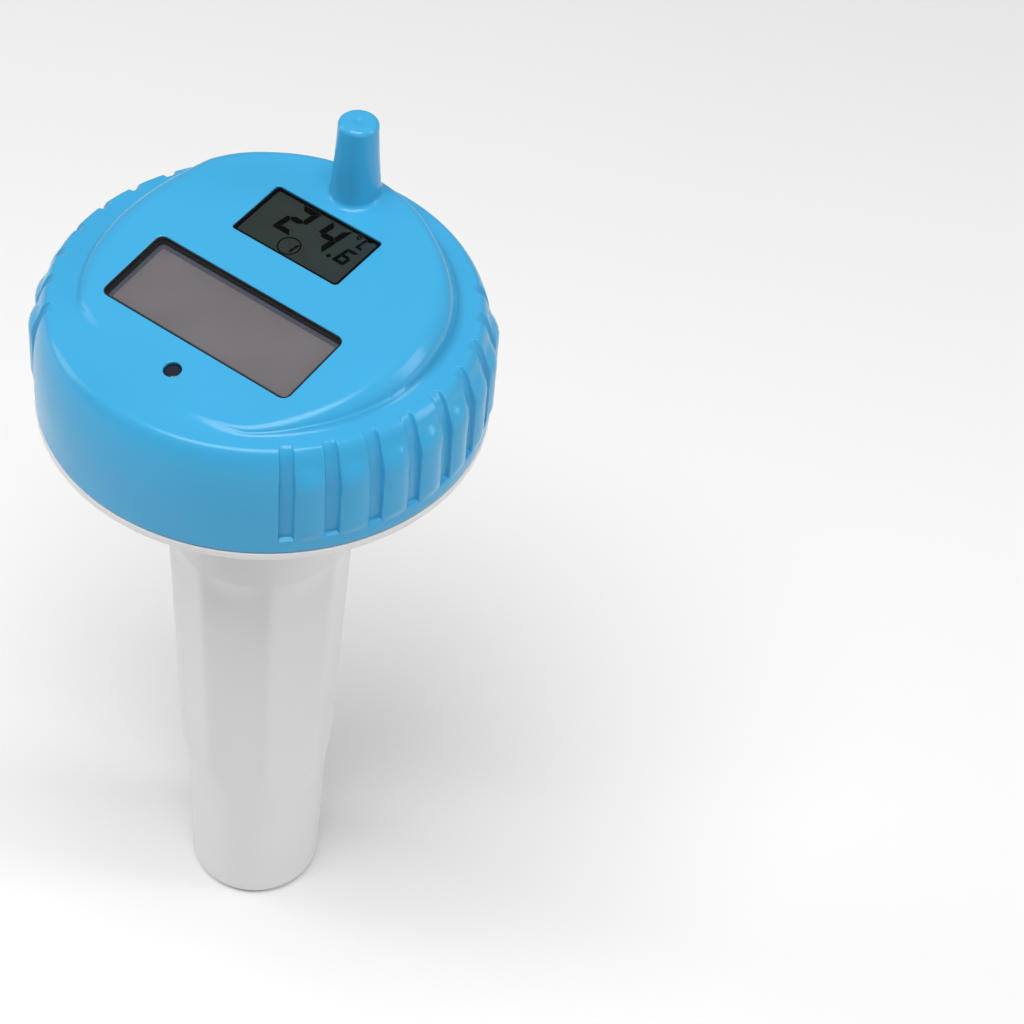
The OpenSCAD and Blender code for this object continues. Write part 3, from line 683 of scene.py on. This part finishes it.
def add_thread(bm, root_r, tip_r, z):
    """The ridges of a four-start thread: each follows the helix and tapers at its ends."""
    steps = 20
    for start in range(THREAD_STARTS):
        rings = []
        for i in range(steps + 1):
            t = i / steps - 0.5
            angle = math.radians(RIDGE_SPAN * t + start * 360 / THREAD_STARTS)
            middle = z + THREAD_LEAD * RIDGE_SPAN * t / 360
            taper = min(1, 4 * (0.5 - abs(t)) + 0.15)
            tip = root_r + (tip_r - root_r) * taper
            section = ((root_r, -0.5), (tip, -0.25), (tip, 0.25), (root_r, 0.5))
            rings.append(ring(bm, [turned(r, angle, middle + h * RIDGE_H) for r, h in section]))
        loft(bm, rings)
        bm.faces.new(list(reversed(rings[0])))
        bm.faces.new(rings[-1])


# ---------------------------------------------------------------- blue cap

SKIRT_R = 53.2
RING_EDGE_R = 48.5
RING_FLAT_R = RING_EDGE_R - 1.4
SHOULDER_H = 18.6
RIB_R = 54.0
RIB_TOP_H = 10.2
RIB_EDGE_R = 40.5
RIB_CROWN_R = 7.0
GROOVE_STEP = 11.25
LAST_GROOVE = 4
GROOVE_DEPTH = 1.1
GROOVE_HALF = 1.55
GROOVE_WALL = 5
GROOVE_Z = SEAM_Z + 4.0
RIB_RISE_Z = (GROOVE_Z - 1.5, GROOVE_Z + 2)
CROWN_FADE_Z = (RING_Z + 1, RING_Z - 6)

# Heights above the seam of the side's lower rings: close together at the grooves' lower ends
SIDE_LEVELS = (1.2, 2.4, 3.0, 3.4, 3.7, 3.85, 3.95, 4.05, 4.15, 4.3, 4.6, 5.2, 6.0, 7.5, 9.0)
SHOULDER_STEP = 5
PER_DEGREE = math.radians(1) * SKIRT_R

# The step from the ring up to the face. Its wall leans and its edge is rounder in some places than in
# others: each span is (its middle in degrees, where it starts, where it is full), measured either way.
STEP_OUT_R = 45.9
LEFT_INSET = 1.8
WALL_LEAN = (8, 27)
EDGE_R = (6.3, 2.5)
BACK_SPAN = (90, 75, 35)
FRONT_SPAN = (-96, 42, 6)
LEFT_SPAN = (198, 70, 20)
CONCAVE_R = 2.2
FRONT_BEND_R = 22


def side_radius(side_r, edge_r, height, z):
    """Radius of an upright side that turns towards the ring's level along a quarter of an ellipse."""
    up = min(max((z - RING_Z + height) / height, 0), 1)
    return edge_r + (side_r - edge_r) * math.sqrt(1 - up * up)


def skirt_radius(z):
    """Radius of the cap's plain side."""
    return side_radius(SKIRT_R, RING_EDGE_R, SHOULDER_H, z)


def grip_offset(angle):
    """(degrees from the nearest groove's centre, whether a groove is near, whether a rib is near)."""
    side = (angle + 90) % 180 - 90
    index = max(-LAST_GROOVE, min(LAST_GROOVE, round(side / GROOVE_STEP)))
    near_groove = abs(side) <= (LAST_GROOVE + 0.5) * GROOVE_STEP
    near_rib = abs(side) < LAST_GROOVE * GROOVE_STEP
    return side - index * GROOVE_STEP, near_groove, near_rib


def grip_radius(angle, z):
    """Radius of the skirt at an angle in degrees, with its ribs raised and its grooves cut."""
    plain = skirt_radius(z)
    offset, near_groove, near_rib = grip_offset(angle)
    if not near_groove:
        return plain
    radius = plain
    if near_rib:
        across = (GROOVE_STEP / 2 - abs(offset)) * PER_DEGREE
        crown = RIB_CROWN_R - math.sqrt(RIB_CROWN_R**2 - across**2)
        rib = side_radius(RIB_R, RIB_EDGE_R, RIB_TOP_H, z) - crown * ease(z, *CROWN_FADE_Z)
        lift = (rib - plain) * ease(z, *RIB_RISE_Z)
        radius = plain + smooth_max(lift, 0, 0.3) - 0.02
    outside = max(abs(offset) * PER_DEGREE - GROOVE_HALF, GROOVE_Z + 0.1 - z)
    groove = plain - GROOVE_DEPTH + GROOVE_WALL * smooth_max(outside, 0, 0.25)
    return smooth_min(radius, groove, 0.35)


def cap_columns():
    """Angles of the cap's columns in degrees: even ones, and close ones at the grooves' walls."""
    close_by = (0, 0.8, 1.3, 1.55, 1.7, 1.82, 1.94, 2.08, 2.25, 2.5, 2.9, 3.5, 4.2, 4.9)
    beyond_grip, plain_step = 5.5, 1.5
    angles = set()
    for side in (0, 180):
        for index in range(-LAST_GROOVE, LAST_GROOVE + 1):
            for step in close_by:
                angles.add(round((side + index * GROOVE_STEP + step) % 360, 3))
                angles.add(round((side + index * GROOVE_STEP - step) % 360, 3))
            if index < LAST_GROOVE:
                angles.add(round((side + (index + 0.5) * GROOVE_STEP) % 360, 3))
        end = LAST_GROOVE * GROOVE_STEP + beyond_grip
        plain = int((180 - 2 * end) / plain_step)
        for i in range(plain + 1):
            angles.add(round((side + end + (180 - 2 * end) * i / plain) % 360, 3))
    return sorted(angles)


def degrees_from(angle, centre):
    """Degrees, either way, between an angle in radians and a centre in degrees."""
    return abs((math.degrees(angle) - centre + 180) % 360 - 180)


def step_profile(angle):
    """The step at one angle, from the flat ring up to the face, as (radius, height) points.
    A concave arc, a leaning wall and a convex arc. Towards the front they fade into one long bend."""
    out = math.sin(angle)
    at_back, at_front, at_left = (
        ease(degrees_from(angle, middle), start, full)
        for middle, start, full in (BACK_SPAN, FRONT_SPAN, LEFT_SPAN)
    )
    steepest = math.radians(90 - WALL_LEAN[0] - (WALL_LEAN[1] - WALL_LEAN[0]) * max(at_back, at_left))
    edge_r = EDGE_R[0] + (EDGE_R[1] - EDGE_R[0]) * at_back
    outer_r = STEP_OUT_R - LEFT_INSET * at_left
    # At the front the step ends where the slope meets the ring
    if out < -0.5:
        meet_r = (CREASE_Y - (CREASE_Z - RING_Z) / math.tan(FRONT_TILT)) / out
        outer_r = min(outer_r + 0.9 * at_front, meet_r + 0.3 + 1.6 * at_front)
    # The face's height at the step depends on the step's width, so the two are found by turns
    start_r = outer_r - 4
    for _ in range(16):
        y = start_r * out
        rise = max(face_z(y) - RING_Z, 0)
        slope = math.atan((math.tan(BACK_TILT) if y > CREASE_Y else math.tan(FRONT_TILT)) * out)
        convex = min(edge_r, 0.8 * rise + 1.0)
        concave = min(CONCAVE_R, 0.5 + 0.5 * rise)
        concave += (FRONT_BEND_R - concave) * at_front
        cosine = (convex * math.cos(slope) + concave - rise) / (convex + concave)
        turn = min(max(math.acos(min(max(cosine, 0), 1)), -slope), steepest)
        arcs = concave * (1 - math.cos(turn)) + convex * (math.cos(slope) - math.cos(turn))
        wall = max(rise - arcs, 0) / math.sin(turn)
        width = concave * math.sin(turn) + wall * math.cos(turn) + convex * (math.sin(turn) + math.sin(slope))
        start_r = (start_r + outer_r - width) / 2
    points = []
    for i in range(6):
        a = turn * i / 5
        points.append((outer_r - concave * math.sin(a), RING_Z + concave * (1 - math.cos(a))))
    top_r = points[-1][0] - wall * math.cos(turn) - convex * math.sin(turn)
    top_z = points[-1][1] + wall * math.sin(turn) - convex * math.cos(turn)
    for i in range(11):
        a = turn + (-slope - turn) * i / 10
        points.append((top_r + convex * math.sin(a), top_z + convex * math.cos(a)))
    return points


def cap_surface_z(x, y):
    """Height of the cap's upper surface: the face, and the edge outside it."""
    r = math.hypot(x, y)
    profile = step_profile(math.atan2(y, x))
    if r <= profile[-1][0]:
        return face_z(y)
    for (far, low), (near, high) in zip(profile, profile[1:]):
        if near <= r <= far:
            return low + (high - low) * (far - r) / max(far - near, 1e-6)
    return RING_Z


def cap_outside(bm, angles):
    """The cap's outside from its rim up to the edge of the flat face. Returns its first and last rings."""
    rim_r = 0.6
    rows = [[point] * len(angles) for point in arc((SKIRT_R - rim_r, SEAM_Z + rim_r), rim_r, -90, 0, 4)]
    heights = list(SIDE_LEVELS)
    low = RING_Z - SHOULDER_H
    heights += [
        low - SEAM_Z + SHOULDER_H * math.sin(math.radians(a)) for a in range(0, 90, SHOULDER_STEP)
    ]
    for h in heights:
        z = SEAM_Z + h
        rows.append([(grip_radius(a, z), z) for a in angles])
    rows.append([(grip_radius(a, RING_Z), RING_Z) for a in angles])
    rows.append([(RING_FLAT_R, RING_Z)] * len(angles))
    steps = [step_profile(math.radians(a)) for a in angles]
    for i in range(len(steps[0])):
        rows.append([profile[i] for profile in steps])
    rings = []
    for row in rows:
        rings.append(ring(bm, [turned(r, math.radians(a), z) for a, (r, z) in zip(angles, row)]))
    loft(bm, rings)
    return rings[0], rings[-1]


def face_openings():
    """(slope, distance behind the axis, outline when grown) of each opening in the face but the post's."""
    circle = arc((0, 0), LED_R, 0, 360, LED_STEPS)[:-1]

    def window(size, corner):
        return lambda grow: outline(size[0] + 2 * grow, size[1] + 2 * grow, corner + grow)

    def indicator(grow):
        swell = 1 + grow / LED_R
        return [(LED_X + x * swell, y * swell) for x, y in circle]

    return [
        (FRONT_TILT, SOLAR_Y, window(SOLAR_SIZE, SOLAR_CORNER)),
        (BACK_TILT, LCD_Y, window(LCD_SIZE, LCD_CORNER)),
        (FRONT_TILT, LED_Y, indicator),
    ]


def cut_opening(bm, tilt, y, grown):
    """The wall of one opening, with a rounded upper edge. Returns its top and bottom rings."""
    edge = 0.35
    middle = slope_y(tilt, y)
    rows = []
    steps = 3
    for i in range(steps + 1):
        a = math.radians(90 * i / steps)
        rows.append((edge * (1 - math.sin(a)), edge * (1 - math.cos(a))))
    rows.append((0, CAP_WALL))
    rings = [
        ring(bm, [on_slope(tilt, px, middle + py, depth) for px, py in grown(grow)]) for grow, depth in rows
    ]
    loft(bm, rings)
    return rings[0], rings[-1]


def post_outside(bm):
    """The aerial post, from the hole under it and its fillet to the dimple in its top. Its fillet follows
    the cap's surface. Returns its lowest ring."""
    fillet, hole_r, toe_gap, waist = 1.3, 4.5, 0.02, 0.16
    base_r, top_r, edge, dimple_depth, columns = 6.0, 4.75, 1.3, 0.5, 96
    axis_z = face_z(POST_Y)
    height = POST_TOP_Z - axis_z
    profile = []
    for i in range(7):
        a = math.radians(90 * i / 6)
        profile.append((base_r + fillet * (1 - math.sin(a)), toe_gap + fillet * (1 - math.cos(a))))
    for i in range(1, 9):
        t = i / 8
        narrowing = waist * math.sin(math.pi * t)
        profile.append((base_r + (top_r - base_r) * t - narrowing, fillet + (height - edge - fillet) * t))
    profile += arc((top_r - edge, height - edge), edge, 10, 90, 7)
    dimple = ((2.4, 0.03), (1.5, 0.06), (1.1, 0.15), (0.8, 0.36), (0.4, 0.48))
    profile += [(r, height - depth) for r, depth in dimple]
    turns = [2 * math.pi * i / columns for i in range(columns)]
    hole = [turned(hole_r, a, 0, (0, POST_Y)) for a in turns]
    rings = [ring(bm, [(x, y, face_z(y)) for x, y, _ in hole])]
    for r, h in profile:
        level = ease(h, 0, height * 0.6)
        points = []
        for a in turns:
            x, y, z = turned(r, a, h, (0, POST_Y))
            points.append((x, y, cap_surface_z(x, y) * (1 - level) + axis_z * level + z))
        rings.append(ring(bm, points))
    loft(bm, rings)
    for toe_edge in loop_edges(bm, rings[0]) + loop_edges(bm, rings[1]):
        toe_edge.smooth = False
    close(bm, rings[-1], (0, POST_Y, POST_TOP_Z - dimple_depth))
    return rings[0]


def fill_face(bm, loops, depth):
    """Fills the folded face between its outer loop and the loops of its openings."""
    edges = [edge for loop in loops for edge in loop_edges(bm, loop)]
    filled = bmesh.ops.triangle_fill(bm, edges=edges, use_beauty=True, use_dissolve=False)
    faces = [f for f in filled["geom"] if isinstance(f, bmesh.types.BMFace)]
    fixed = {vertex for loop in loops for vertex in loop}
    for y in (CREASE_Y - CREASE_HALF, CREASE_Y + CREASE_HALF):
        geometry = faces + list({e for f in faces for e in f.edges})
        geometry += list({v for f in faces for v in f.verts})
        cut = bmesh.ops.bisect_plane(bm, geom=geometry, plane_co=(0, y, 0), plane_no=(0, 1, 0), dist=1e-4)
        faces = [g for g in cut["geom"] if isinstance(g, bmesh.types.BMFace)]
    for vertex in {v for f in faces for v in f.verts}:
        if vertex not in fixed:
            vertex.co.z = face_z(vertex.co.y, depth)


CAP_BORE_R = 50.2
SEAT_Z = SEAM_Z + 14.15
RING_UNDER_Z = RING_Z - 2.2
CAVITY_R = 40.6
UNDER_EDGE = 1.2


def cap_inside(bm, angles, low_ring):
    """The cap's inner surface, from its rim up to the underside of the face. Returns its last ring."""
    chamfer = 0.3
    profile = [(CAP_BORE_R + chamfer, SEAM_Z), (CAP_BORE_R, SEAM_Z + chamfer), (CAP_BORE_R, SEAT_Z)]
    profile += [(NECK_R, RING_UNDER_Z), (CAVITY_R, RING_UNDER_Z), (CAVITY_R, RING_Z)]
    rings = [low_ring]
    for r, z in profile:
        rings.append(ring(bm, [turned(r, math.radians(a), z) for a in angles]))
    points = []
    for angle in map(math.radians, angles):
        top_r = min(CAVITY_R, step_profile(angle)[-1][0] + UNDER_EDGE)
        x, y, _ = turned(top_r, angle, 0)
        points.append((x, y, face_z(y, CAP_WALL)))
    rings.append(ring(bm, points))
    loft(bm, rings)
    return rings[-1]


def post_bore(bm):
    """The hole up the post that holds the aerial. Returns its lowest ring."""
    base_r, top_r, top_z, columns = 4.0, 3.0, POST_TOP_Z - 2.4, 40
    turns = [2 * math.pi * i / columns for i in range(columns)]
    low = [turned(base_r, a, 0, (0, POST_Y)) for a in turns]
    rings = [
        ring(bm, [(x, y, face_z(y, CAP_WALL)) for x, y, _ in low]),
        ring(bm, [turned(top_r, a, top_z, (0, POST_Y)) for a in turns]),
    ]
    loft(bm, rings)
    close(bm, rings[-1], (0, POST_Y, top_z + 0.3))
    return rings[0]


ROOT = 0.2
SEAT_R = (46.4, 48.2)
SCREW_HOLE_R = 0.85
TRAY_PILLAR_R = 2.8
TRAY_PILLAR_OUT = 42.8
TRAY_TOP_Z = SEAM_Z + 16
BOARD_PILLAR_R = 2.6
BOARD_DEPTH = 8

# (x, y, how far the top of the face is above the board) of the board's pillars
BOARD_PILLARS = ((21, 28, 8), (-21, 28, 8), (17, -32, 5), (-17, -32, 5))


def tube(bm, inner_r, outer_r, low, high, columns=24, centre=(0, 0)):
    """An upright tube."""
    closed_lathe(bm, [(inner_r, low), (outer_r, low), (outer_r, high), (inner_r, high)], columns, centre)


def cap_inner_bosses(bm):
    """What stands inside the cap: the gasket's seat, the thread, and the pillars for the screws."""
    tube(bm, *SEAT_R, SEAT_Z, RING_UNDER_Z + ROOT, 128)
    add_thread(bm, CAP_BORE_R + RIDGE_ROOT, CAP_BORE_R - RIDGE_OUT, SEAM_Z + 5.5)
    for i in range(4):
        x, y, _ = turned(TRAY_PILLAR_OUT, i * math.pi / 2, 0)
        tube(bm, SCREW_HOLE_R, TRAY_PILLAR_R, TRAY_TOP_Z, RING_UNDER_Z + ROOT, centre=(x, y))
    for x, y, reach in BOARD_PILLARS:
        low = CREASE_Z + slope_y(BACK_TILT, y) * math.sin(BACK_TILT) - BOARD_DEPTH
        if y > 0:
            low = face_z(y, BOARD_DEPTH)
        tube(bm, SCREW_HOLE_R, BOARD_PILLAR_R, low, low + reach - CAP_WALL + ROOT, centre=(x, y))


def blue_cap():
    """The cap in one shell: its outside, its openings and post, its inside, and what stands in it."""
    bm = bmesh.new()
    angles = cap_columns()
    rim, face_edge = cap_outside(bm, angles)
    under_edge = cap_inside(bm, angles, rim)
    tops, bottoms = [face_edge], [under_edge]
    for tilt, y, grown in face_openings():
        top, bottom = cut_opening(bm, tilt, y, grown)
        tops.append(top)
        bottoms.append(bottom)
    tops.append(post_outside(bm))
    bottoms.append(post_bore(bm))
    fill_face(bm, tops, 0)
    fill_face(bm, bottoms, CAP_WALL)
    cap_inner_bosses(bm)
    shell = piece("cap_shell", bm, CAP_BLUE, "cap")
    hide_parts("top_cap")


# ---------------------------------------------------------------- windows

LCD_GLASS_DEPTH = (0.15, 0.6)
LCD_FILM_DEPTH = 0.9
LCD_INK_DEPTH = 0.8
LCD_INK_THICKNESS = 0.04
SEGMENT_SLANT = math.tan(math.radians(9.5))

# (lit segments, left, bottom, width, height, stroke, gap) of each figure: the reading, its unit, the channel
FIGURES = (
    ("abged", -8.7, -2.1, 5.3, 9.6, 1.5, 0.12),
    ("fgbc", 0.2, -2.0, 5.5, 9.6, 1.5, 0.12),
    ("afgedc", 8.9, -2.1, 3.2, 5.0, 0.85, 0.06),
    ("afed", 10.7, 4.1, 2.0, 3.6, 0.58, 0.06),
    ("bc", -1.35, -6.4, 1.3, 3.5, 0.55, 0.08),
)
DECIMAL_POINT = (7.9, -1.6)
DECIMAL_SIZE = (1.0, 0.3)

# (centre, radius, stroke, points) of the degree sign and of the ring around the channel number
INK_RINGS = (((9.6, 7.0), 0.62, 0.3, 20), ((-1.4, -4.7), 2.8, 0.28, 40))


def inset(size, by, corner):
    """The outline of an opening made smaller by so much on every side."""
    return outline(size[0] - 2 * by, size[1] - 2 * by, corner)


def solar_details():
    """Black lining of the solar window, its glue line, and a grey band painted on the cell's edge as the
    lining's shadow.
    """
    bm = bmesh.new()
    wall, lining = inset(SOLAR_SIZE, 0.02, 1.98), inset(SOLAR_SIZE, 0.12, 1.88)
    slope_frame(bm, FRONT_TILT, SOLAR_Y, wall, lining, 0.36, CAP_WALL - 0.02)
    glue_outer, glue_inner = inset(SOLAR_SIZE, 0.03, 1.97), inset(SOLAR_SIZE, 0.35, 1.65)
    slope_frame(bm, FRONT_TILT, SOLAR_Y, glue_outer, glue_inner, 0.22, 0.34)
    piece("solar_glue_line", bm, WALL_BLACK, "cap", smooth=False)
    # A grey frame laid on the cell's edge is painted shadow: the shade that the black lining casts on the
    # cell.
    bm = bmesh.new()
    shadow_edge = inset(SOLAR_SIZE, 1.7, 0.6)
    slope_frame(bm, FRONT_TILT, SOLAR_Y, lining, shadow_edge, CAP_WALL - 0.14, CAP_WALL - 0.03)
    piece("solar_cell_painted_shadow", bm, PAINTED_SHADOW_GREY, "cap", smooth=False)


def lcd_details():
    """The display's glass, its black edge and the dark film behind its figures."""
    bm = bmesh.new()
    points = inset(LCD_SIZE, 0.06, 0.94)
    slope_plate(bm, BACK_TILT, LCD_Y, points, *LCD_GLASS_DEPTH)
    glass = piece("display_glass", bm, LCD_GLASS, "cap", smooth=False)
    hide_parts("lcd_window")
    bm = bmesh.new()
    slope_plate(bm, BACK_TILT, LCD_Y, points, LCD_FILM_DEPTH, LCD_FILM_DEPTH + 0.4)
    piece("display_film", bm, FINISHES["lcd_glass"], "cap", smooth=False)
    bm = bmesh.new()
    inner = outline(LCD_SIZE[0] - 1.7, LCD_SIZE[1] - 1.5, 0.6)
    slope_frame(bm, BACK_TILT, LCD_Y, points, inner, LCD_GLASS_DEPTH[1] + 0.03, LCD_FILM_DEPTH - 0.02)
    piece("display_mask", bm, INK_BLACK, "cap", smooth=False)


def segment_shapes(width, height, stroke, gap):
    """The seven segments of a figure, as outlines with mitred ends."""
    t, g, w, h = stroke, gap, width, height
    m = h / 2
    right_top = [(w, h - g), (w, m + g), (w - t / 2, m + g / 2), (w - t, m + g + t / 2), (w - t, h - t - g)]
    right_low = [(x, h - y) for x, y in reversed(right_top)]
    left_top = [(w - x, y) for x, y in reversed(right_top)]
    left_low = [(w - x, y) for x, y in reversed(right_low)]
    top = [(g, h), (w - g, h), (w - t - g, h - t), (t + g, h - t)]
    bottom = [(x, h - y) for x, y in reversed(top)]
    middle = [(t / 2 + g, m), (t + g, m + t / 2), (w - t - g, m + t / 2)]
    middle += [(w - t / 2 - g, m), (w - t - g, m - t / 2), (t + g, m - t / 2)]
    return {"a": top, "b": right_top, "c": right_low, "d": bottom, "e": left_low, "f": left_top, "g": middle}


def ink(bm, points):
    """A dark patch on the display, slanted as the figures are."""
    slanted = [(x + y * SEGMENT_SLANT, y) for x, y in points]
    slope_plate(bm, BACK_TILT, LCD_Y, slanted, LCD_INK_DEPTH, LCD_INK_DEPTH + LCD_INK_THICKNESS)


def figure(bm, lit, x, y, width, height, stroke, gap):
    """The lit segments of one figure whose lower left corner is at x, y."""
    for name, points in segment_shapes(width, height, stroke, gap).items():
        if name in lit:
            ink(bm, [(x - y * SEGMENT_SLANT + px, y + py) for px, py in points])


def ink_ring(bm, centre, radius, stroke, steps):
    """A round line on the display."""
    outer = arc(centre, radius, 0, 360, steps)[:-1]
    inner = arc(centre, radius - stroke, 0, 360, steps)[:-1]
    slope_frame(bm, BACK_TILT, LCD_Y, outer, inner, LCD_INK_DEPTH, LCD_INK_DEPTH + LCD_INK_THICKNESS)


def lcd_figures():
    """A temperature reading with one decimal, its degree sign and a ringed channel number."""
    bm = bmesh.new()
    for shape in FIGURES:
        figure(bm, *shape)
    width, corner = DECIMAL_SIZE
    ink(bm, [(DECIMAL_POINT[0] + x, DECIMAL_POINT[1] + y) for x, y in outline(width, width, corner)])
    for shape in INK_RINGS:
        ink_ring(bm, *shape)
    piece("display_figures", bm, INK_BLACK, "cap", smooth=False)


def indicator_lens():
    """The dark lens in the indicator's hole: a shallow dome set just under the face."""
    bm = bmesh.new()
    middle = slope_y(FRONT_TILT, LED_Y)
    lens_r, shoulder_depth, dome = LED_R - 0.06, 0.95, 0.35
    profile = [(lens_r, CAP_WALL), (lens_r, shoulder_depth)]
    for a in map(math.radians, (20, 40, 60, 80)):
        profile.append((lens_r * math.cos(a), shoulder_depth - dome * math.sin(a)))
    rings = []
    for r, depth in profile:
        circle = arc((LED_X, 0), r, 0, 360, LED_STEPS)[:-1]
        rings.append(ring(bm, [on_slope(FRONT_TILT, x, middle + y, depth) for x, y in circle]))
    loft(bm, rings)
    close(bm, rings[-1], on_slope(FRONT_TILT, LED_X, middle, shoulder_depth - dome))
    close(bm, list(reversed(rings[0])), on_slope(FRONT_TILT, LED_X, middle, CAP_WALL))
    lens = piece("indicator_lens", bm, LENS_DARK, "cap")
    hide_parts("led_lens")


float_hull()
blue_cap()
solar_details()
lcd_details()
lcd_figures()
indicator_lens()
